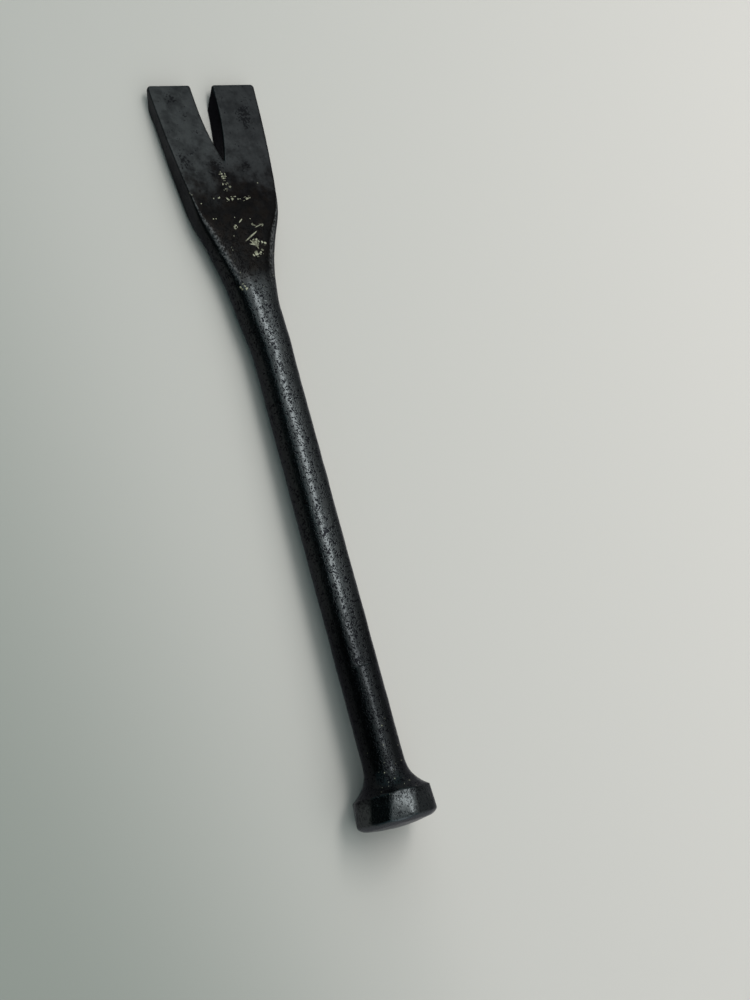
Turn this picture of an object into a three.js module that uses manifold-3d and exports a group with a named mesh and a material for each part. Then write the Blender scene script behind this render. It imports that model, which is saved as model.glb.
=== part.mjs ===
// A 12 inch forged pry bar: a notched nail claw and a crowned striking head on a round shank.
//
// The bar is one steel forging. It is divided here where its form changes, into a striking head,
// a shank, a neck, a claw blade and two tines, which meet face to face and are rigidly one piece.
//
// Bar frame, in millimetres: x runs along the shank's axis from the striking face to the claw's tip,
// y is across the claw and z is up. The whole bar is then tilted to lie as it does on a bench,
// on the flat underside of its claw and on the rim of its head.

import * as THREE from "three";
import { mergeVertices } from "three/addons/utils/BufferGeometryUtils.js";
import Module from "manifold-3d";

const wasm = await Module();
wasm.setup();

// ---------------------------------------------------------------- driving dimensions

const LENGTH = 305; // striking face to claw tip, 12 inches

const SHANK = { radius: 7.94, start: 25, end: 186 }; // 5/8 inch round stock

const HEAD = {
  rimRadius: 15.7, // at the front of the side wall
  rearRadius: 14.9, // the side wall's draft leaves it a little smaller behind
  crown: 1.6, // height of the domed face
  flat: 4, // radius of the flat that use leaves on its top
  chamfer: { length: 1.8, height: 2 }, // round the face
  wall: 8.9, // length of the side wall
};

const CLAW = {
  neckStart: 217, // where the straight flank would meet the shank's side
  shoulder: 248.5, // where the flank turns into the blade
  shoulderHalf: 17.8, // half width there
  tipHalf: 23.4, // half width at the tip
  neckRound: 90, // radius of the hollow between shank and flank
  shoulderRound: 20, // radius over the shoulder
  corner: 2.2, // radius of the tip's corners in plan
  sideBulge: 0.3, // how far the blade's sides stand out at mid height
};

// Between these the section turns from round to square, its lower half first.
const SQUARING = { lower: [186, 212], upper: [200, 236] };

const WEDGE = {
  seat: 225, // where the flat underside starts
  heel: 297, // where its bevel to the tip starts
  tipRise: 0.8, // upper face above the axis at the tip
  tipEdge: 1.2, // thickness left at the very tip
  upperSlope: 0.066, // rise of the upper face towards the shank, per mm
};

const NOTCH = { halfMouth: 4.6, depth: 36, draft: 0.066 }; // sides curve to a point; wider above

const SEAM = 0.3; // clearance where two of the bar's zones meet

const STEPS = { round: 48, side: 7, flat: 4, dome: 6, fillet: 10, arc: 12 };

// ---------------------------------------------------------------- worked out from them

const apex = LENGTH - NOTCH.depth;
const faceRim = HEAD.crown + HEAD.chamfer.length; // x of the side wall's front edge
const wallEnd = faceRim + HEAD.wall;

// The flat underside is in the plane that touches the shank and the rim of the head, so the bar
// lies on that flat and on the rim.
const underSlope = (HEAD.rimRadius - SHANK.radius) / (WEDGE.seat - faceRim);
const tilt = Math.atan(underSlope);
const heelDrop = SHANK.radius - (WEDGE.heel - WEDGE.seat) * underSlope;

// ---------------------------------------------------------------- sections of the claw

const clamp01 = (v) => Math.min(1, Math.max(0, v));
const mix = (a, b, t) => a + (b - a) * t;
const smooth = (t) => t * t * (3 - 2 * t);

// Height of the upper face above the axis.
function upper(x) {
  return Math.min(SHANK.radius, WEDGE.tipRise + (LENGTH - x) * WEDGE.upperSlope);
}

// Depth of the underside below the axis. Past the heel the bevel lifts it above the axis.
function under(x) {
  if (x > WEDGE.heel) {
    const tipDrop = WEDGE.tipEdge - WEDGE.tipRise;
    return mix(heelDrop, tipDrop, (x - WEDGE.heel) / (LENGTH - WEDGE.heel));
  }
  return Math.min(SHANK.radius, heelDrop + (WEDGE.heel - x) * underSlope);
}

// Half width in plan: shank, hollow, flank, rounded shoulder, flared blade.
function half(x) {
  const { neckStart, shoulder, shoulderHalf, tipHalf, neckRound, shoulderRound } = CLAW;
  const flank = (shoulderHalf - SHANK.radius) / (shoulder - neckStart);
  const flare = (tipHalf - shoulderHalf) / (LENGTH - shoulder);
  const hollow = neckRound * Math.tan(Math.atan(flank) / 2);
  const brow = shoulderRound * Math.tan((Math.atan(flank) - Math.atan(flare)) / 2);
  if (x <= neckStart - hollow) return SHANK.radius;
  if (x < neckStart + hollow * Math.cos(Math.atan(flank))) {
    const run = x - (neckStart - hollow);
    return SHANK.radius + neckRound - Math.sqrt(neckRound ** 2 - run ** 2);
  }
  const onFlank = shoulderHalf + (x - shoulder) * flank;
  const onBlade = shoulderHalf + (x - shoulder) * flare;
  const run = clamp01((x - shoulder + brow) / (2 * brow));
  if (run === 0 || run === 1) return Math.min(onFlank, onBlade);
  return onFlank - (brow * (flank - flare)) * run * run;
}

// How far the side stands out beyond the face it meets: the shank's own roundness, then the blade's.
function bulge(x, face, [from, to]) {
  const round = SHANK.radius - Math.sqrt(Math.max(0, SHANK.radius ** 2 - face ** 2));
  return mix(round, CLAW.sideBulge, smooth(clamp01((x - from) / (to - from))));
}

// One quarter of a section, from the side's middle to the middle of the face.
function quarter(x, middle, face, squaring) {
  const reach = face - middle;
  const out = bulge(x, face, squaring);
  const fall = (h) => 1 - Math.sqrt(Math.max(0, 1 - (h / SHANK.radius) ** 2));
  const points = [];
  for (let i = 0; i <= STEPS.side; i++) {
    const h = Math.sin((i / STEPS.side) * (Math.PI / 2)) * Math.abs(reach);
    const inset = fall(Math.abs(reach)) > 0 ? (out * fall(h)) / fall(Math.abs(reach)) : 0;
    points.push([half(x) - inset, middle + Math.sign(reach) * h]);
  }
  const edge = points[STEPS.side];
  for (let i = 1; i <= STEPS.flat; i++) points.push([edge[0] * (1 - i / STEPS.flat), edge[1]]);
  return points;
}

// A closed section at x, as [y, z] pairs that run anticlockwise seen from the tip.
function section(x) {
  const top = upper(x);
  const low = -under(x);
  const middle = low > 0 || x > WEDGE.heel ? (top + low) / 2 : 0;
  const above = quarter(x, middle, top, SQUARING.upper);
  const below = quarter(x, middle, low, SQUARING.lower);
  const mirror = (points) => points.map(([y, z]) => [-y, z]);
  return [
    ...above,
    ...mirror(above).reverse().slice(1, -1),
    ...mirror(below),
    ...below.slice(1, -1).reverse(),
  ];
}

// A closed solid through the sections at each x: a cylinder whose rings are moved onto them.
function loft(xs) {
  const rings = xs.map(section);
  const count = rings[0].length;
  const geometry = new THREE.CylinderGeometry(1, 1, 1, count, xs.length - 1);
  const at = geometry.attributes.position;
  for (let i = 0; i < at.count; i++) {
    const ring = Math.round((at.getY(i) + 0.5) * (xs.length - 1));
    const middle = Math.hypot(at.getX(i), at.getZ(i)) < 0.5;
    const turn = Math.atan2(at.getX(i), at.getZ(i)) / (2 * Math.PI);
    const [y, z] = rings[ring][(Math.round(turn * count) + count) % count];
    const height = (upper(xs[ring]) - under(xs[ring])) / 2;
    at.setXYZ(i, xs[ring], middle ? 0 : y, middle ? height : z);
  }
  return geometry;
}

function stations(from, to, steps) {
  return Array.from({ length: steps + 1 }, (_, i) => mix(from, to, i / steps));
}

// ---------------------------------------------------------------- booleans

function solid(geometry) {
  const plain = geometry.index ? geometry.toNonIndexed() : geometry.clone();
  plain.deleteAttribute("normal");
  plain.deleteAttribute("uv");
  const merged = mergeVertices(plain, 1e-4);
  return new wasm.Manifold(
    new wasm.Mesh({
      numProp: 3,
      vertProperties: merged.attributes.position.array,
      triVerts: new Uint32Array(merged.index.array),
    }),
  );
}

function geometryOf(manifold) {
  const mesh = manifold.getMesh();
  const geometry = new THREE.BufferGeometry();
  geometry.setAttribute("position", new THREE.BufferAttribute(mesh.vertProperties, 3));
  geometry.setIndex(new THREE.BufferAttribute(mesh.triVerts, 1));
  return geometry;
}

// A plan outline made into an upright prism that passes right through the claw.
// With draft it widens upwards, by that share of its width per mm.
function prism(shape, draft = 0) {
  const deep = 3 * SHANK.radius;
  const geometry = new THREE.ExtrudeGeometry(shape, {
    depth: deep,
    bevelEnabled: false,
    curveSegments: STEPS.arc,
  }).translate(0, 0, -deep / 2);
  const at = geometry.attributes.position;
  for (let i = 0; i < at.count; i++) at.setY(i, at.getY(i) * (1 + draft * at.getZ(i)));
  return solid(geometry);
}

// ---------------------------------------------------------------- the parts of the bar

// Turned forms are drawn as radius against x and spun about the shank's axis,
// with a corner of the polygon at the very bottom.
function turned(profile) {
  const geometry = new THREE.LatheGeometry(
    profile.map(([x, r]) => new THREE.Vector2(r, x)),
    STEPS.round,
  );
  return geometry.rotateZ(-Math.PI / 2).rotateX(Math.PI / 2);
}

// Crowned face, chamfer, side wall, and a hollow flare down to the shank.
function strikingHead() {
  const { rimRadius, rearRadius, crown, flat, chamfer } = HEAD;
  const faceRadius = rimRadius - chamfer.height;
  const profile = [[0, 0]];
  for (let i = 0; i <= STEPS.dome; i++) {
    const out = i / STEPS.dome;
    profile.push([crown * out ** 2, mix(flat, faceRadius, out)]);
  }
  profile.push([faceRim, rimRadius], [wallEnd, rearRadius]);
  const flare = new THREE.CubicBezierCurve(
    new THREE.Vector2(wallEnd, rearRadius),
    new THREE.Vector2(wallEnd + 4.2, rearRadius - 4.4),
    new THREE.Vector2(wallEnd + 6.5, SHANK.radius),
    new THREE.Vector2(SHANK.start - SEAM, SHANK.radius),
  );
  for (const p of flare.getPoints(STEPS.fillet).slice(1)) profile.push([p.x, p.y]);
  profile.push([SHANK.start - SEAM, 0]);
  return turned(profile);
}

function shank() {
  return turned([
    [SHANK.start, 0],
    [SHANK.start, SHANK.radius],
    [SHANK.end, SHANK.radius],
    [SHANK.end, 0],
  ]);
}

function neck() {
  return loft(stations(SHANK.end + SEAM, CLAW.shoulder, 24));
}

function clawBlade() {
  return loft(stations(CLAW.shoulder + SEAM, apex - SEAM, 6));
}

// The notch in plan. Each side is an arc that runs straight at the mouth and meets the other in a point.
function notchOutline() {
  const { halfMouth, depth } = NOTCH;
  const radius = (depth ** 2 + halfMouth ** 2) / (2 * halfMouth);
  const sweep = Math.asin(depth / radius);
  const outline = new THREE.Shape();
  outline.moveTo(LENGTH + halfMouth, halfMouth);
  outline.lineTo(LENGTH, halfMouth);
  outline.absarc(LENGTH, halfMouth - radius, radius, Math.PI / 2, Math.PI / 2 + sweep, false);
  outline.absarc(LENGTH, radius - halfMouth, radius, -Math.PI / 2 - sweep, -Math.PI / 2, false);
  outline.lineTo(LENGTH + halfMouth, -halfMouth);
  return outline;
}

// The room that one tine may fill in plan: up to the notch on one side, with rounded corners at the tip.
function tineOutline(side) {
  const { corner, tipHalf, shoulderHalf, shoulder } = CLAW;
  const flare = Math.atan((tipHalf - shoulderHalf) / (LENGTH - shoulder));
  const outer = tipHalf - corner * Math.tan((Math.PI / 2 + flare) / 2);
  const inner = NOTCH.halfMouth + corner;
  const far = tipHalf + corner;
  const outline = new THREE.Shape();
  outline.moveTo(apex, SEAM / 2);
  outline.lineTo(LENGTH - corner, SEAM / 2);
  outline.lineTo(LENGTH - corner, inner - corner);
  outline.absarc(LENGTH - corner, inner, corner, -Math.PI / 2, 0, false);
  outline.absarc(LENGTH - corner, outer, corner, 0, Math.PI / 2 + flare, false);
  outline.lineTo(apex, far - (LENGTH - apex) * Math.tan(flare));
  if (side > 0) return outline;
  return new THREE.Shape(outline.getPoints(STEPS.arc).map((p) => new THREE.Vector2(p.x, -p.y)).reverse());
}

function tine(side) {
  const beyond = stations(WEDGE.heel, LENGTH, 3).slice(1);
  const whole = solid(loft([...stations(apex, WEDGE.heel, 5), ...beyond]));
  const notch = prism(notchOutline(), NOTCH.draft);
  return geometryOf(whole.intersect(prism(tineOutline(side))).subtract(notch));
}

// ---------------------------------------------------------------- assembly

const forgedSteel = new THREE.MeshStandardMaterial({
  color: 0x1d1e20,
  roughness: 0.45,
  metalness: 0.85,
});
const groundSteel = new THREE.MeshStandardMaterial({
  color: 0x33353a,
  roughness: 0.55,
  metalness: 0.8,
});

function part(name, geometry, material) {
  const mesh = new THREE.Mesh(geometry, material);
  mesh.name = name;
  return mesh;
}

const bar = new THREE.Group();
bar.add(
  part("striking_head", strikingHead(), forgedSteel),
  part("shank", shank(), forgedSteel),
  part("neck", neck(), forgedSteel),
  part("claw_blade", clawBlade(), groundSteel),
  part("left_tine", tine(1), groundSteel),
  part("right_tine", tine(-1), groundSteel),
);

// Lay the bar down: turn it about y so that the underside is level, then lift it onto z = 0
// and centre its length on the origin.
bar.rotation.y = tilt;
bar.updateMatrixWorld(true);
const bounds = new THREE.Box3().setFromObject(bar, true);
bar.position.set(-(bounds.min.x + bounds.max.x) / 2, 0, -bounds.min.z);

const pryBar = new THREE.Group();
pryBar.name = "pry_bar";
pryBar.add(bar);

export default pryBar;
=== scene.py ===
"""Pry bar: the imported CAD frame, with one worn forged surface over its six zones."""

import math
import bmesh
import bpy
import numpy as np
from mathutils import Euler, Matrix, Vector, noise


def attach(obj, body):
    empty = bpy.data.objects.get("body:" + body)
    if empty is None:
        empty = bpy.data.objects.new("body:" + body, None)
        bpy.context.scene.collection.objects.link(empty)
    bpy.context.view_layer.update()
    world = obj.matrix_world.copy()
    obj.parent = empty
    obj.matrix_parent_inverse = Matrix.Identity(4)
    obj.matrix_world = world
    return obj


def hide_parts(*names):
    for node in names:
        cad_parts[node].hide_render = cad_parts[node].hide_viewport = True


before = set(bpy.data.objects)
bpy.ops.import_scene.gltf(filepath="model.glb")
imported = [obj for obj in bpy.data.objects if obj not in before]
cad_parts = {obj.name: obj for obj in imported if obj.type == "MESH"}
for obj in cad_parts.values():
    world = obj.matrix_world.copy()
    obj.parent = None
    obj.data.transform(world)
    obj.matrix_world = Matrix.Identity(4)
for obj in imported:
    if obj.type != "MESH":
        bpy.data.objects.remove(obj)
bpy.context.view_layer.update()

MM = 0.001

# ------------------------------------------------------------------ the bar's dimensions, in mm

# In the bar's own frame x runs from the striking face to the claw's tip along the shank's axis,
# y is across the claw and z is up. A pair is a stretch of x over which something changes.

LENGTH = 305.0
SHANK = 7.94  # radius of the stock
HEAD = dict(rim=15.7, rear=14.9, crown=1.6, flat=4.0, chamfer=(1.8, 2.0), wall=8.9, end=25.0)
OFF_CENTRE = dict(by=0.4, over=(6.0, 26.0))  # how far the head's middle is to the left
CHAMFER_FACES = (0.77, 0.64)  # how much the chamfer faces forwards and outwards
FLARE = dict(power=2.6, slope=0.8)  # its hollow, and the slope of its field

# Flats beaten on the head's wall: the angle of each round the bar in degrees, and its depth.
FLATS = (
    (-14, 0.75), (-47, 0.55), (-77, 0.45), (27, 0.45), (66, 0.4),
    (104, 0.5), (148, 0.5), (-112, 0.4), (-154, 0.5),
)
FLAT_DRAFT = 0.080  # the flats come in by this much to each mm along the bar
FLAT_TWIST = dict(rate=1.2, about=8.0)  # degrees to each mm that the flats turn
FLATS_REACH = 2.0  # they run out this far behind the wall

NECK = dict(start=180.0, settled=202.0, middle=218.0, spread=0.345, hollow=14.0)
LEAN = dict(by=1.3, start=(188.0, 208.0), end=(222.0, 254.0))  # of the neck, to the left
BLADE = dict(shoulder=248.5, half=17.9, tip_half=23.4, bulge=0.7, squared=(236.0, 256.0))
SEAT, HEEL = 225.0, 297.0  # where the flat underside and its bevel start
TIP_RISE, TIP_EDGE, UPPER_SLOPE = 0.8, 1.2, 0.065
RUN_UP = dict(start=232.0, rate=0.0021)  # the upper face curves up from here to the shank
NOTCH = dict(half=4.6, depth=36.0, draft=0.066)

# Radii of the edges. One that changes has its two radii and the stretch between them.
ROUND = dict(wall=0.7, flats=0.5, face=0.5, corner=1.6, heel=0.3, tip=0.35)
LOW_EDGE = dict(radii=(2.6, 0.7), over=(286.0, 299.0))
TOP_EDGE = dict(radii=(2.4, 0.5), over=(236.0, 262.0))
NOTCH_EDGE = dict(radii=(0.4, 1.2), over=(299.0, 304.0))

APEX = LENGTH - NOTCH["depth"]
FACE_RIM = HEAD["crown"] + HEAD["chamfer"][0]
WALL_END = FACE_RIM + HEAD["wall"]
UNDER_SLOPE = (HEAD["rim"] - SHANK) / (SEAT - FACE_RIM)
TILT = math.atan(UNDER_SLOPE)
SHANK_END = 186.0  # where the shank's piece ends and the neck's starts
PLAIN = 60.0  # on the plain shank, where the head's field gives way to the claw's

PITCH = 0.45  # of the grid that the surface is drawn from
GRID_BOX = ((-1.2, -25.0, -17.0), (306.5, 25.0, 17.0))  # its lowest and highest corner
FAR_INSIDE = -9.0

# ------------------------------------------------------------------ the bar as a field


def ramp(x, a, b):
    """0 before a, 1 after b, smooth between."""
    t = np.clip((x - a) / (b - a), 0.0, 1.0)
    return t * t * (3.0 - 2.0 * t)


def meet(a, b, r):
    """Where both a and b are inside, with an edge of radius r between them."""
    return np.minimum(np.maximum(a, b), -r) + np.hypot(np.maximum(a + r, 0.0), np.maximum(b + r, 0.0))


def edge_radius(x, edge):
    first, last = edge["radii"]
    return first + (last - first) * ramp(x, *edge["over"])


def half_width(x):
    """Half of the blade's width, with sides that bow out a little."""
    t = np.clip((x - BLADE["shoulder"]) / (LENGTH - BLADE["shoulder"]), -0.5, 1.0)
    straight = BLADE["half"] + (BLADE["tip_half"] - BLADE["half"]) * t
    return straight + BLADE["bulge"] * np.sin(np.pi * np.clip(t, 0, 1))


def neck_spread(x):
    """How far the two round sides of the stock have moved apart, from none on the shank."""
    u = x - NECK["middle"]
    out = NECK["spread"] * (u + np.sqrt(u * u + NECK["hollow"] ** 2)) / 2
    return out * ramp(x, NECK["start"], NECK["settled"])


def head_radius(x):
    """Radius of the head's wall, then of the hollow flare behind it."""
    t = np.clip((x - WALL_END) / (HEAD["end"] - WALL_END), 0.0, 1.0)
    flare = SHANK + (HEAD["rear"] - SHANK) * (1.0 - t) ** FLARE["power"]
    wall = HEAD["rim"] + (HEAD["rear"] - HEAD["rim"]) * (x - FACE_RIM) / HEAD["wall"]
    return np.where(x < WALL_END, wall, flare)


def head_field(x, y, z):
    start, end = OFF_CENTRE["over"]
    y = y - OFF_CENTRE["by"] * ramp(-x, -end, -start)
    r = np.hypot(y, z)
    side = (r - head_radius(x)) * np.where(x < WALL_END, 1.0, FLARE["slope"])
    for angle, depth in FLATS:
        a = np.radians(angle + FLAT_TWIST["rate"] * (x - FLAT_TWIST["about"]))
        out = y * -np.sin(a) + z * np.cos(a) - HEAD["rim"] + depth + FLAT_DRAFT * (x - FACE_RIM)
        side = meet(side, np.where(x < WALL_END + FLATS_REACH, out, FAR_INSIDE), ROUND["flats"])
    dome = HEAD["crown"] * (r / (HEAD["rim"] - HEAD["chamfer"][1])) ** 2 - x
    rim = (FACE_RIM - x) * CHAMFER_FACES[0] + (r - HEAD["rim"]) * CHAMFER_FACES[1]
    return meet(meet(side, rim, ROUND["wall"]), dome, ROUND["face"])


def underside(x, z):
    """The flat that the bar rests on, and the bevel from its heel up to the tip."""
    floor = -z - np.minimum(SHANK, SHANK - (x - SEAT) * UNDER_SLOPE)
    heel_drop = SHANK - (HEEL - SEAT) * UNDER_SLOPE
    steep = (heel_drop + TIP_RISE - TIP_EDGE) / (LENGTH - HEEL)
    bevel = (-z - heel_drop + (x - HEEL) * steep) / math.hypot(1.0, steep)
    return meet(floor, bevel, ROUND["heel"])


def outside_notch(x, y, z):
    s = np.clip((LENGTH - x) / NOTCH["depth"], 0.0, 1.0)
    gap = NOTCH["half"] * (1.0 - s * s) * (1.0 + NOTCH["draft"] * z)
    return np.where(x > APEX, gap - np.abs(y), -np.hypot(APEX - x, y))


def claw_field(x, y, z):
    y = y - LEAN["by"] * ramp(x, *LEAN["start"]) * (1.0 - ramp(x, *LEAN["end"]))
    round_side = np.hypot(np.maximum(np.abs(y) - neck_spread(x), 0.0), z) - SHANK
    upright = np.abs(y) - half_width(x)
    side = round_side + (upright - round_side) * ramp(x, *BLADE["squared"])
    run_up = RUN_UP["rate"] * np.maximum(RUN_UP["start"] - x, 0.0) ** 2
    top = z - np.minimum(SHANK, TIP_RISE + (LENGTH - x) * UPPER_SLOPE + run_up)
    tip = x - LENGTH
    under = underside(x, z)
    body = np.maximum(meet(side, tip, ROUND["corner"]), meet(side, under, edge_radius(x, LOW_EDGE)))
    body = np.maximum(body, meet(tip, under, ROUND["tip"]))
    body = meet(body, top, edge_radius(x, TOP_EDGE))
    return meet(body, outside_notch(x, y, z), edge_radius(x, NOTCH_EDGE))


def bar_field(x, y, z):
    """Below zero inside the bar, in mm in the bar's own frame."""
    return np.where(x < PLAIN, head_field(x, y, z), claw_field(x, y, z))


# ------------------------------------------------------------------ a surface from the field

CORNERS = [(i, j, k) for i in (0, 1) for j in (0, 1) for k in (0, 1)]  # of a grid cell


def sampled():
    """The grid's lowest corner, and the field at each of its points."""
    low, high = (np.array(corner) for corner in GRID_BOX)
    count = np.ceil((high - low) / PITCH).astype(int)
    xs, ys, zs = (low[i] + PITCH * np.arange(count[i]) for i in range(3))
    field = np.empty(tuple(count), np.float32)
    for i, x in enumerate(xs):
        field[i] = bar_field(np.full((1, 1), x), ys[:, None], zs[None, :])
    return low, field


def crossed_cells(inside):
    """The grid cells that the surface passes through."""
    nx, ny, nz = inside.shape
    filled = sum(
        inside[i:nx - 1 + i, j:ny - 1 + j, k:nz - 1 + k].astype(np.int8) for i, j, k in CORNERS
    )
    return np.argwhere((filled > 0) & (filled < len(CORNERS)))


def crossing_means(field, cells):
    """The mean of the points where the surface crosses each cell's edges, measured in cells."""
    total = np.zeros((len(cells), 3))
    hits = np.zeros(len(cells))
    for a in CORNERS:
        for axis in range(3):
            if a[axis]:
                continue
            b = tuple(c + (n == axis) for n, c in enumerate(a))
            fa = field[tuple((cells + a).T)]
            fb = field[tuple((cells + b).T)]
            cross = (fa < 0) != (fb < 0)
            t = np.where(cross, fa / np.where(cross, fa - fb, 1.0), 0.0)
            point = np.array(a)[None, :] + t[:, None] * (np.arange(3) == axis)
            total += point * cross[:, None]
            hits += cross
    return total / hits[:, None]


def quads_round_edges(inside, cells):
    """A quad round each grid edge that the surface crosses, facing out of the bar."""
    number = np.full(inside.shape, -1, np.int64)
    number[tuple(cells.T)] = np.arange(len(cells))
    step = np.eye(3, dtype=int)
    quads = []
    for axis in range(3):
        du, dv = step[(axis + 1) % 3], step[(axis + 2) % 3]
        ahead = np.take(inside, range(1, inside.shape[axis]), axis)
        here = np.take(inside, range(0, inside.shape[axis] - 1), axis)
        for leaving in (True, False):
            edge = np.argwhere((here & ~ahead) if leaving else (~here & ahead))
            loop = [edge - du - dv, edge - dv, edge, edge - du]
            quad = np.stack([number[tuple(c.T)] for c in loop], 1)
            quads.append(quad if leaving else quad[:, ::-1])
    return np.concatenate(quads)


def slope_at(points, e=0.05):
    """The field's slope, from its values a distance e to each side."""
    rises = [bar_field(*(points + d).T) - bar_field(*(points - d).T) for d in np.eye(3) * e]
    return np.stack([rise / (2 * e) for rise in rises], 1)


def onto_surface(points, rounds=4, reach=0.3):
    """The points moved onto the surface by Newton's method, at most reach in each round."""
    for _ in range(rounds):
        g = slope_at(points)
        step = bar_field(*points.T)[:, None] * g / np.maximum((g * g).sum(1), 1e-6)[:, None]
        points = points - np.clip(step, -reach, reach)
    return points


def surface():
    """Points of the bar's surface, one to each grid cell that it passes through, and quads."""
    low, field = sampled()
    inside = field < 0.0
    cells = crossed_cells(inside)
    points = low + PITCH * (cells + crossing_means(field, cells))
    return onto_surface(points), quads_round_edges(inside, cells)


# ------------------------------------------------------------------ forging marks

# Height and size of each kind of dent, with a shift that keeps their patterns apart.
DENTS = ((0.12, 9.0, (0, 0, 0)), (0.045, 2.8, (7, 1, 3)), (0.014, 1.15, (1, 9, 4)))
PITS = dict(depth=0.14, apart=2.0, radius=0.34, power=0.7)
CLUSTERS = dict(size=6.0, shift=(3, 3, 8), edge=6)  # of pits, and how fast they set in
DRESSED = dict(start=222.0, length=26.0, dents=0.75, pits=0.6)  # the share dressed off the claw


def marks(p):
    """How far the worn, beaten surface stands out at a point of the bar, in mm."""
    dressed = min(1.0, max(0.0, (p.x - DRESSED["start"]) / DRESSED["length"]))
    out = sum(height * noise.noise(p / size + Vector(shift)) for height, size, shift in DENTS)
    out *= 1.0 - DRESSED["dents"] * dressed
    cluster = noise.noise(p / CLUSTERS["size"] + Vector(CLUSTERS["shift"]))
    if cluster > 0.0:
        far = noise.voronoi(p / PITS["apart"])[0][0]
        hole = max(0.0, 1.0 - far / PITS["radius"]) ** PITS["power"]
        hole *= min(1.0, cluster * CLUSTERS["edge"])
        out -= PITS["depth"] * (1.0 - DRESSED["pits"] * dressed) * hole
    return out


def worn(points):
    """The points moved out or in, square to the surface, by their forging marks."""
    slope = slope_at(points)
    height = np.array([marks(Vector(p)) for p in points])
    return points + slope / np.linalg.norm(slope, axis=1)[:, None] * height[:, None]


# ------------------------------------------------------------------ meshes


def lie():
    """The slide and lift that centre the tilted bar on its length and put it on the bench."""
    c, s = math.cos(TILT), math.sin(TILT)
    slide = (LENGTH * c + TIP_RISE * s - HEAD["flat"] * s) / 2
    return slide, FACE_RIM * s + HEAD["rim"] * c


SLIDE, LIFT = lie()


def placed(points):
    """From the bar's frame in mm to the row's frame in metres."""
    c, s = math.cos(TILT), math.sin(TILT)
    x = points[:, 0] * c + points[:, 2] * s
    z = points[:, 2] * c - points[:, 0] * s
    return np.stack([x - SLIDE, points[:, 1], z + LIFT], 1) * MM


def forging():
    """The whole bar as one mesh."""
    points, quads = surface()
    mesh = bpy.data.meshes.new("whole")
    mesh.from_pydata(placed(worn(points)).tolist(), [], quads.tolist())
    mesh.update()
    return mesh


def smooth_normals(mesh):
    normals = np.empty(len(mesh.vertices) * 3)
    mesh.vertices.foreach_get("normal", normals)
    return normals.reshape(-1, 3)


def cut_at(bm, place, normal, keep_front):
    """Cuts the solid along a plane, keeps one side and closes it."""
    geom = bm.verts[:] + bm.edges[:] + bm.faces[:]
    done = bmesh.ops.bisect_plane(
        bm, geom=geom, plane_co=place, plane_no=normal, dist=1e-7,
        clear_inner=keep_front, clear_outer=not keep_front,
    )
    rim = [e for e in done["geom_cut"] if isinstance(e, bmesh.types.BMEdge)]
    made = bmesh.ops.holes_fill(bm, edges=rim, sides=0)
    cap = bm.faces.layers.int["cap"]
    for face in made["faces"]:
        face[cap] = 1
        face.smooth = False


def zone(whole, normals, name, cuts):
    """A closed piece of the whole bar, which keeps the whole's normals so that no seam shows."""
    bm = bmesh.new()
    bm.from_mesh(whole)
    bm.faces.layers.int.new("cap")
    flow = bm.verts.layers.float_vector.new("flow")
    for v, n in zip(bm.verts, normals):
        v[flow] = n
    for f in bm.faces:
        f.smooth = True
    for place, normal, keep_front in cuts:
        cut_at(bm, place, normal, keep_front)
    cap = bm.faces.layers.int["cap"]
    bmesh.ops.triangulate(bm, faces=[f for f in bm.faces if f[cap]])
    bmesh.ops.recalc_face_normals(bm, faces=bm.faces[:])
    split = [
        tuple(f.normal) if f[cap] else tuple(loop.vert[flow].normalized())
        for f in bm.faces for loop in f.loops
    ]
    mesh = bpy.data.meshes.new(name)
    bm.to_mesh(mesh)
    bm.free()
    mesh.normals_split_custom_set(split)
    piece = bpy.data.objects.new(name, mesh)
    bpy.context.collection.objects.link(piece)
    return piece


ALONG = Vector((math.cos(TILT), 0.0, -math.sin(TILT)))
ACROSS = Vector((0.0, 1.0, 0.0))


def station(x):
    """The point of the bar's axis at x, in the row's frame."""
    return Vector(placed(np.array([[x, 0.0, 0.0]]))[0])


def between(a=None, b=None):
    """The cuts that keep the bar from a to b."""
    cuts = [] if a is None else [(station(a), ALONG, True)]
    return cuts if b is None else cuts + [(station(b), ALONG, False)]


ZONES = {
    "striking_head": (between(None, HEAD["end"]), "forged_steel"),
    "shank": (between(HEAD["end"], SHANK_END), "forged_steel"),
    "neck": (between(SHANK_END, BLADE["shoulder"]), "forged_steel"),
    "claw_blade": (between(BLADE["shoulder"], APEX), "claw_steel"),
    "left_tine": (between(APEX) + [(station(APEX), ACROSS, True)], "claw_steel"),
    "right_tine": (between(APEX) + [(station(APEX), ACROSS, False)], "claw_steel"),
}

# ------------------------------------------------------------------ shader nodes


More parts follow.
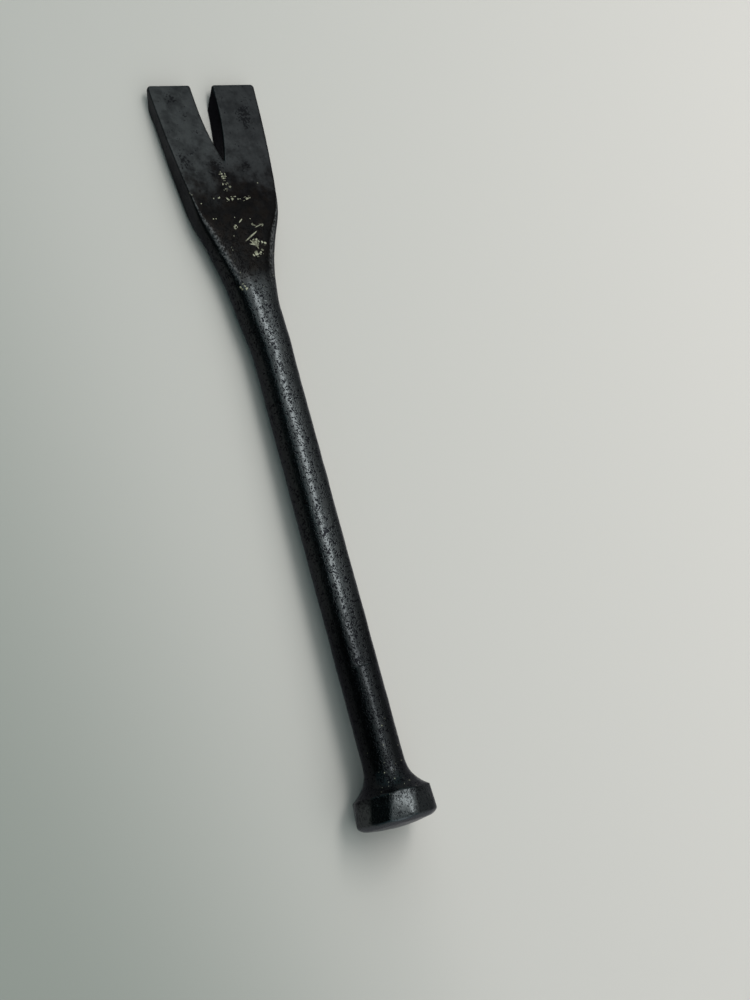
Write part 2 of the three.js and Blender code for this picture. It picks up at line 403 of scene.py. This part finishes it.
class Nodes:
    """Short names for making and joining shader nodes."""

    def __init__(self, tree):
        self.tree = tree

    def add(self, kind, **values):
        node = self.tree.nodes.new(kind)
        for key, value in values.items():
            setattr(node, key, value)
        return node

    def link(self, source, target):
        if isinstance(source, (int, float, tuple)):
            target.default_value = source
        else:
            self.tree.links.new(source, target)

    def math(self, operation, a, b=0.0):
        node = self.add("ShaderNodeMath", operation=operation)
        self.link(a, node.inputs[0])
        self.link(b, node.inputs[1])
        return node.outputs[0]

    def times(self, a, b):
        return self.math("MULTIPLY", a, b)

    def plus(self, a, b):
        return self.math("ADD", a, b)

    def most(self, a, b):
        return self.math("MAXIMUM", a, b)

    def span(self, value, low, high, out_low=0.0, out_high=1.0, kind="SMOOTHSTEP"):
        """out_low where the value is at or below low, out_high at or above high."""
        node = self.add("ShaderNodeMapRange", interpolation_type=kind)
        for n, v in enumerate((value, low, high, out_low, out_high)):
            self.link(v, node.inputs[n])
        return node.outputs[0]

    def mix(self, share, a, b):
        node = self.add("ShaderNodeMix", data_type="RGBA")
        self.link(share, node.inputs[0])
        self.link(a, node.inputs[6])
        self.link(b, node.inputs[7])
        return node.outputs[2]


# Stretches of the bar over which a finish starts or ends, in mm along the row's X.
STRETCH = dict(
    face=(-149.6, -148.4),  # the bright rim of the striking face ends
    wall=(-143.0, -138.0),  # the head's wall ends
    head_chips=(-142.0, -138.0),  # paint behind the wall starts
    head_chips_end=(-122.0, -106.0),
    darker_behind_head=(-88.0, -52.0),  # the darkening behind the head ends
    strays=(52.0, 66.0),  # stray paint starts
    edges=(54.0, 74.0),  # worn edges of the neck, lighter with a painted highlight, start
    stain=(58.0, 70.0),  # brown stain starts
    blade=(68.0, 104.0),  # scale gives way to the dressed claw
    flank=(84.0, 102.0),  # painted shade on the flanks ends
    edges_end=(94.0, 116.0),
    strays_end=(98.0, 112.0),
    shoulder=(98.0, 126.0),  # darker steel by the shoulders ends
    slot=(114.0, 118.0),  # the notch's walls start
)

# How much a surface faces up where a finish starts or ends, from 0 on a wall to 1.
UPWARD = dict(
    paint=(0.3, 0.6),
    wall=(0.35, 0.70),
    edge=(0.76, 0.87),
    stain=(0.88, 0.97),
    edge_end=(0.94, 0.985),
)

# Noise: size in mm, detail, roughness, and a shift so that no two are alike.
PATTERNS = dict(
    mottle=(7.0, 4.0, 0.65, 0.0),
    grain=(0.9, 2.0, 0.5, 31.0),
    peel=(0.66, 1.5, 0.5, 2.0),
    dents=(1.9, 1.0, 0.5, 5.0),
    crust=(5.0, 2.0, 0.5, 21.0),
    rust=(4.0, 3.0, 0.6, 50.0),
    edge=(0.9, 2.0, 0.6, 17.0),
    cream=(1.6, 2.0, 0.5, 60.0),
    skin=(2.6, 2.0, 0.5, 9.0),
)


class Surface(Nodes):
    """The nodes of a material, with the place in mm and how much the surface faces up."""

    def __init__(self, mat):
        mat.use_nodes = True
        super().__init__(mat.node_tree)
        self.bsdf = self.tree.nodes["Principled BSDF"]
        scaled = self.add("ShaderNodeVectorMath", operation="SCALE")
        scaled.inputs["Scale"].default_value = 1 / MM
        self.link(self.add("ShaderNodeTexCoord").outputs["Object"], scaled.inputs[0])
        self.mm = scaled.outputs[0]
        parts = self.add("ShaderNodeSeparateXYZ")
        self.link(self.mm, parts.inputs[0])
        self.x, self.y, _ = parts.outputs
        facing = self.add("ShaderNodeSeparateXYZ")
        self.link(self.add("ShaderNodeNewGeometry").outputs["Normal"], facing.inputs[0])
        self.up = facing.outputs[2]

    def along(self, name, before=0.0, after=1.0):
        return self.span(self.x, *STRETCH[name], before, after)

    def upward(self, name, below=0.0, above=1.0):
        return self.span(self.up, *UPWARD[name], below, above)

    def spot(self, size, shift):
        """The point in units of size mm, moved by the shift."""
        place = self.add("ShaderNodeMapping")
        place.inputs["Location"].default_value = (shift, shift * 0.7, shift * 0.3)
        place.inputs["Scale"].default_value = (1 / size,) * 3
        self.link(self.mm, place.inputs["Vector"])
        return place.outputs[0]

    def noise(self, size, detail, rough, shift, output="Fac"):
        """Noise with features about size mm across."""
        node = self.add("ShaderNodeTexNoise")
        self.link(self.spot(size, shift), node.inputs["Vector"])
        node.inputs["Scale"].default_value = 1.0
        node.inputs["Detail"].default_value = detail
        node.inputs["Roughness"].default_value = rough
        return node.outputs[output]

    def pattern(self, name):
        return self.noise(*PATTERNS[name])

    def chips(self, size, share, radius, shift):
        """Ragged spots in a share of the cells of a grid with cells of size mm."""
        warp = self.add("ShaderNodeVectorMath", operation="MULTIPLY_ADD")
        self.link(self.noise(size * 0.6, 1.0, 0.5, shift, "Color"), warp.inputs[0])
        warp.inputs[1].default_value = (0.9, 0.9, 0.9)
        self.link(self.spot(size, shift), warp.inputs[2])
        cell = self.add("ShaderNodeTexVoronoi")
        cell.inputs["Scale"].default_value = 1.0
        self.link(warp.outputs[0], cell.inputs["Vector"])
        pick = self.add("ShaderNodeSeparateColor")
        self.link(cell.outputs["Color"], pick.inputs[0])
        chosen = self.math("LESS_THAN", pick.outputs[0], share)
        return self.times(chosen, self.span(cell.outputs["Distance"], radius, radius + 0.1, 1.0, 0.0))

    def near(self, x, y, rx, ry, turn=0.0, soft=1.0):
        """1 at a place seen from above, falling to 0 at an ellipse round it."""
        place = self.add("ShaderNodeMapping", vector_type="TEXTURE")
        place.inputs["Location"].default_value = (x, y, 0.0)
        place.inputs["Rotation"].default_value = (0.0, 0.0, math.radians(turn))
        place.inputs["Scale"].default_value = (rx, ry, 1e6)
        self.link(self.mm, place.inputs["Vector"])
        far = self.add("ShaderNodeVectorMath", operation="LENGTH")
        self.link(place.outputs[0], far.inputs[0])
        return self.span(far.outputs["Value"], 1.0 - soft, 1.0, 1.0, 0.0)

    def near_any(self, places):
        found = 0.0
        for place in places:
            found = self.most(found, self.near(*place))
        return found

    def bump(self, height, depth_mm):
        node = self.add("ShaderNodeBump")
        node.inputs["Strength"].default_value = 1.0
        node.inputs["Distance"].default_value = depth_mm * MM
        self.link(height, node.inputs["Height"])
        return node.outputs[0]


# ------------------------------------------------------------------ steel

# Places on the bar seen from above, in mm in the row's frame: x, y, reach along X, reach across.
SPLASHES = (
    (79.6, -3.0, 3.8, 3.4), (88.0, -6.2, 2.0, 5.2), (87.4, 4.0, 2.0, 2.2), (79.6, -7.0, 2.4, 2.2),
    (75.2, -2.6, 2.2, 4.4), (107.5, 2.2, 7.0, 2.3), (100.2, -2.0, 1.8, 11.0), (60.5, 7.6, 3.4, 1.7),
)
BLOTCHES = (
    (137.0, -15.0, 9.0, 7.0), (118.0, 17.0, 8.0, 4.5), (112.0, 4.0, 9.0, 8.0), (115.0, -9.4, 4.0, 4.0),
    (146.0, 15.0, 4.0, 5.0), (101.0, 0.0, 7.0, 15.0),
)

# The same for scratches, with half length and half width as reach, and the turn in degrees.
SCRATCHES = (
    (83.0, -1.8, 4.2, 0.34, -56.0), (90.0, 0.8, 1.4, 0.26, -48.0), (79.2, -2.0, 2.3, 0.34, 78.0),
    (78.7, -2.9, 1.9, 0.30, 15.0), (80.3, -1.5, 1.5, 0.28, 40.0), (87.4, -6.4, 2.4, 0.24, -70.0),
)

COLOUR = dict(
    scale=(0.008, 0.008, 0.010, 1),
    worn_scale=(0.050, 0.053, 0.055, 1),
    dressed_right=(0.030, 0.0305, 0.032, 1),
    dressed_left=(0.037, 0.0385, 0.0395, 1),
    blotch=(0.007, 0.007, 0.008, 1),
    oxide=(0.008, 0.008, 0.009, 1),
    speck=(0.006, 0.006, 0.007, 1),
    stain=(0.0040, 0.0036, 0.0037, 1),
    rust=(0.0062, 0.0048, 0.0042, 1),
    # near-black colour of the painted shade on the notch's walls and the flanks
    painted_shade=(0.003, 0.003, 0.004, 1),
    darker_behind_head=(0.004, 0.004, 0.005, 1),
    rubbed_edge_highlight=(0.11, 0.106, 0.107, 1),
    face=(0.085, 0.088, 0.098, 1),
    old_cream=(0.14, 0.133, 0.085, 1),
    cream=(0.40, 0.38, 0.27, 1),
)
SPECULAR_TINT = (0.60, 0.60, 0.63, 1.0)
RELIEF = 0.045  # depth of the fine relief, in mm


def high_spots(t, mottle):
    """Where the orange peel stands out and is rubbed shiny. The head's wall is smoother."""
    level = t.plus(t.times(t.pattern("peel"), 0.65), t.times(t.pattern("dents"), 0.35))
    smooth = t.along("wall", 0.5, 0.0)
    return t.most(t.span(level, 0.40, 0.50), t.times(smooth, t.span(mottle, 0.3, 0.5)))


def specks(t, grain, blotch):
    """Small dark pits, close together in the blotches."""
    crust = t.times(t.span(t.pattern("crust"), 0.50, 0.66), 0.10)
    crust = t.plus(crust, t.times(blotch, 0.26))
    return t.span(t.plus(grain, crust), 0.69, 0.75)


def dressed_colour(t, mottle, blotch, speck):
    """Dark grey satin oxide, mottled, lighter to the left and away from the shoulders."""
    colour = t.mix(t.span(t.y, -16.0, 18.0), COLOUR["dressed_right"], COLOUR["dressed_left"])
    colour = t.mix(t.times(blotch, 0.30), colour, COLOUR["blotch"])
    colour = t.mix(t.along("shoulder", 0.45, 0.0), colour, COLOUR["oxide"])
    colour = t.mix(t.span(mottle, 0.34, 0.60, 0.45, 1.0), COLOUR["oxide"], colour)
    return t.mix(t.times(speck, 0.8), colour, COLOUR["speck"])


def stained(t, mottle):
    """The brown stain on the upper side, from the neck to a ragged edge on the claw."""
    end = t.plus(t.x, t.times(mottle, 46.0))
    end = t.plus(end, t.times(t.math("ABSOLUTE", t.y), 0.4))
    stain = t.times(t.along("stain"), t.span(end, 123.0, 147.0, 1.0, 0.0))
    return t.times(stain, t.upward("stain"))


def painted_wall_shade(t, wall):
    """Painted shade on the walls of the notch, and on the flanks from the head to the blade."""
    slot = t.times(t.along("slot"), t.span(t.math("ABSOLUTE", t.y), 7.0, 9.0, 1.0, 0.0))
    flank = t.times(t.along("flank", 0.6, 0.0), t.along("wall"))
    return t.times(wall, t.most(t.times(slot, 0.95), flank))


def rubbed_edges_and_highlight(t):
    """The rubbed edges between the neck's upper face and its flanks, lighter as worn steel and as a
    painted highlight.
    """
    edge = t.times(t.upward("edge"), t.upward("edge_end", 1.0, 0.0))
    edge = t.times(edge, t.along("edges"))
    edge = t.times(edge, t.along("edges_end", 1.0, 0.3))
    return t.times(edge, t.span(t.pattern("edge"), 0.42, 0.58, 0.06, 0.80))


def painted(t):
    """Cream paint: chips close together in a few places, strays, and scratches that hold it."""
    paint = t.chips(1.15, t.times(t.near_any(SPLASHES), 0.95), 0.42, 13.0)
    strays = t.times(t.along("strays", 0.0, 0.030), t.along("strays_end", 1.0, 0.0))
    paint = t.most(paint, t.chips(1.0, strays, 0.20, 40.0))
    for line in SCRATCHES:
        paint = t.most(paint, t.near(*line, soft=0.4))
    by_head = t.times(t.along("head_chips_end", 0.05, 0.0), t.along("head_chips"))
    paint = t.most(paint, t.chips(0.7, by_head, 0.22, 23.0))
    return t.times(paint, t.upward("paint"))


def steel():
    mat = bpy.data.materials.new("forged_steel")
    t = Surface(mat)
    blade = t.along("blade")
    wall = t.upward("wall", 1.0, 0.0)
    mottle = t.pattern("mottle")
    grain = t.pattern("grain")
    high = high_spots(t, mottle)
    blotch = t.near_any(BLOTCHES)
    speck = specks(t, grain, blotch)

    forged = t.mix(high, COLOUR["scale"], COLOUR["worn_scale"])
    colour = t.mix(blade, forged, dressed_colour(t, mottle, blotch, speck))
    stain = stained(t, mottle)
    rust = t.mix(t.span(t.pattern("rust"), 0.42, 0.62), COLOUR["stain"], COLOUR["rust"])
    colour = t.mix(t.times(stain, 0.92), colour, rust)
    # painted shade: the notch's walls and the flanks are made near black
    colour = t.mix(painted_wall_shade(t, wall), colour, COLOUR["painted_shade"])
    # darker from the head's wall back along the shank
    colour = t.mix(t.times(t.along("darker_behind_head", 0.62, 0.0), t.along("wall")), colour, COLOUR["darker_behind_head"])
    # rubbed edges: worn steel with a painted highlight along the ridges
    rubbed_edge_highlight = rubbed_edges_and_highlight(t)
    colour = t.mix(rubbed_edge_highlight, colour, COLOUR["rubbed_edge_highlight"])
    colour = t.mix(t.along("face", 0.8, 0.0), colour, COLOUR["face"])
    paint = painted(t)
    cream = t.mix(t.span(t.pattern("cream"), 0.35, 0.65), COLOUR["old_cream"], COLOUR["cream"])
    t.link(t.mix(paint, colour, cream), t.bsdf.inputs["Base Color"])

    dull = t.most(paint, t.times(rubbed_edge_highlight, 0.7))
    t.link(t.math("SUBTRACT", 1.0, dull), t.bsdf.inputs["Metallic"])
    t.bsdf.inputs["Specular Tint"].default_value = SPECULAR_TINT

    rough = t.span(high, 0.0, 1.0, 0.36, 0.24)
    rough = t.plus(rough, t.times(blade, 0.12))
    rough = t.plus(rough, t.times(t.most(speck, stain), 0.08))
    t.link(rough, t.bsdf.inputs["Roughness"])

    skin = t.times(high, t.span(blade, 0.0, 1.0, 1.0, 0.10))
    skin = t.plus(skin, t.times(t.pattern("skin"), 0.40))
    skin = t.math("SUBTRACT", skin, t.times(t.times(speck, blade), 0.25))
    t.link(t.bump(skin, RELIEF), t.bsdf.inputs["Normal"])
    return mat


def cover_the_frame():
    """Puts the worn surface in place of the six CAD nodes."""
    whole = forging()
    normals = smooth_normals(whole)
    finish = steel()
    for name, (cuts, slot) in ZONES.items():
        piece = zone(whole, normals, name + "_forged", cuts)
        piece.data.materials.append(finish)
        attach(piece, "root")
        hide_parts(name)
    bpy.data.meshes.remove(whole)


# ------------------------------------------------------------------ stage, lights, camera

# The camera's place is in mm, the lamp's in metres.
CAMERA = dict(place=(-126.1, 251.7, 519.1), turn=(16.775, -25.384, -105.982), lens=54.0, sensor=36.0)
LAMP = dict(place=(0.27, -0.15, 1.0), size=(0.22, 0.72), power=3.6, colour=(0.97, 1.0, 0.98))
GLOW = dict(ceiling=0.85, right=0.30, ends=0.35, rest=0.02)  # how bright the room is
CEILING_FACES = (0.0, -0.122, 0.9925)  # the bright strip is a little to the bar's right
COOL, NEUTRAL = (0.45, 0.92, 1.0, 1.0), (0.96, 1.0, 0.98, 1.0)
# Paper colours: painted light to the bar's right, painted shade to its left, and a painted shadow in
# the corner
PAPER = dict(
    bright=(0.840, 0.749, 0.712, 1),
    plain=(0.521, 0.492, 0.463, 1),
    dull=(0.335, 0.336, 0.305, 1),
)
FLOOR_HALF = 3


def paper():
    """White paper with painted light: brighter to the bar's right, with a painted shadow in the corner
    to the left of its head.
    """
    mat = bpy.data.materials.new("paper")
    t = Surface(mat)
    left = t.plus(t.y, t.times(t.x, 0.3))
    # painted light and shade: lighter to the bar's right, darker to its left
    shade = t.span(left, -290.0, 150.0, kind="LINEAR")
    colour = t.mix(shade, PAPER["bright"], PAPER["plain"])
    # painted shadow in the corner to the left of the head
    corner = t.plus(t.times(t.y, 0.966), t.times(t.x, -0.259))
    colour = t.mix(t.span(corner, 10.0, 200.0), colour, PAPER["dull"])
    t.link(colour, t.bsdf.inputs["Base Color"])
    t.bsdf.inputs["Roughness"].default_value = 0.9
    return mat


def floor():
    mesh = bpy.data.meshes.new("floor")
    corners = [(x * FLOOR_HALF, y * FLOOR_HALF, 0) for x, y in ((-1, -1), (1, -1), (1, 1), (-1, 1))]
    mesh.from_pydata(corners, [], [(0, 1, 2, 3)])
    obj = bpy.data.objects.new("floor", mesh)
    bpy.context.collection.objects.link(obj)
    mesh.materials.append(paper())


def camera():
    data = bpy.data.cameras.new("camera")
    data.lens = CAMERA["lens"]
    data.sensor_width = CAMERA["sensor"]
    obj = bpy.data.objects.new("camera", data)
    bpy.context.collection.objects.link(obj)
    obj.location = Vector(CAMERA["place"]) * MM
    obj.rotation_euler = Euler([math.radians(a) for a in CAMERA["turn"]], "XYZ")
    bpy.context.scene.camera = obj


def lamp():
    """A narrow lamp above the bar, turned to face the origin."""
    data = bpy.data.lights.new("overhead", "AREA")
    data.shape = "RECTANGLE"
    data.size, data.size_y = LAMP["size"]
    data.energy = LAMP["power"]
    data.color = LAMP["colour"]
    obj = bpy.data.objects.new("overhead", data)
    bpy.context.collection.objects.link(obj)
    obj.location = LAMP["place"]
    obj.rotation_euler = (-Vector(LAMP["place"])).to_track_quat("-Z", "Y").to_euler()


def room():
    """A bright strip of ceiling along the bar, a dim wall to its right, and lit ends."""
    world = bpy.data.worlds.new("room")
    bpy.context.scene.world = world
    world.use_nodes = True
    t = Nodes(world.node_tree)
    coords = t.add("ShaderNodeTexCoord")

    def towards(direction):
        node = t.add("ShaderNodeVectorMath", operation="DOT_PRODUCT")
        node.inputs[1].default_value = direction
        t.link(coords.outputs["Generated"], node.inputs[0])
        return node.outputs["Value"]

    along = t.math("ABSOLUTE", towards((1.0, 0.0, 0.0)))
    round_it = t.math("SQRT", t.math("SUBTRACT", 1.0, t.times(along, along)))
    overhead = t.math("DIVIDE", towards(CEILING_FACES), round_it)
    ceiling = t.span(overhead, 0.70, 0.92, 0.0, GLOW["ceiling"])
    right = t.span(towards((0.0, -1.0, 0.0)), 0.40, 0.70, 0.0, GLOW["right"])
    ends = t.span(along, 0.35, 0.90, 0.0, GLOW["ends"])
    strength = t.plus(t.plus(ceiling, right), t.plus(ends, GLOW["rest"]))
    back = world.node_tree.nodes["Background"]
    t.link(t.mix(t.plus(ceiling, t.times(right, 3.0)), COOL, NEUTRAL), back.inputs["Color"])
    t.link(strength, back.inputs["Strength"])


cover_the_frame()
floor()
camera()
lamp()
room()
bpy.context.scene.view_settings.view_transform = "Standard"
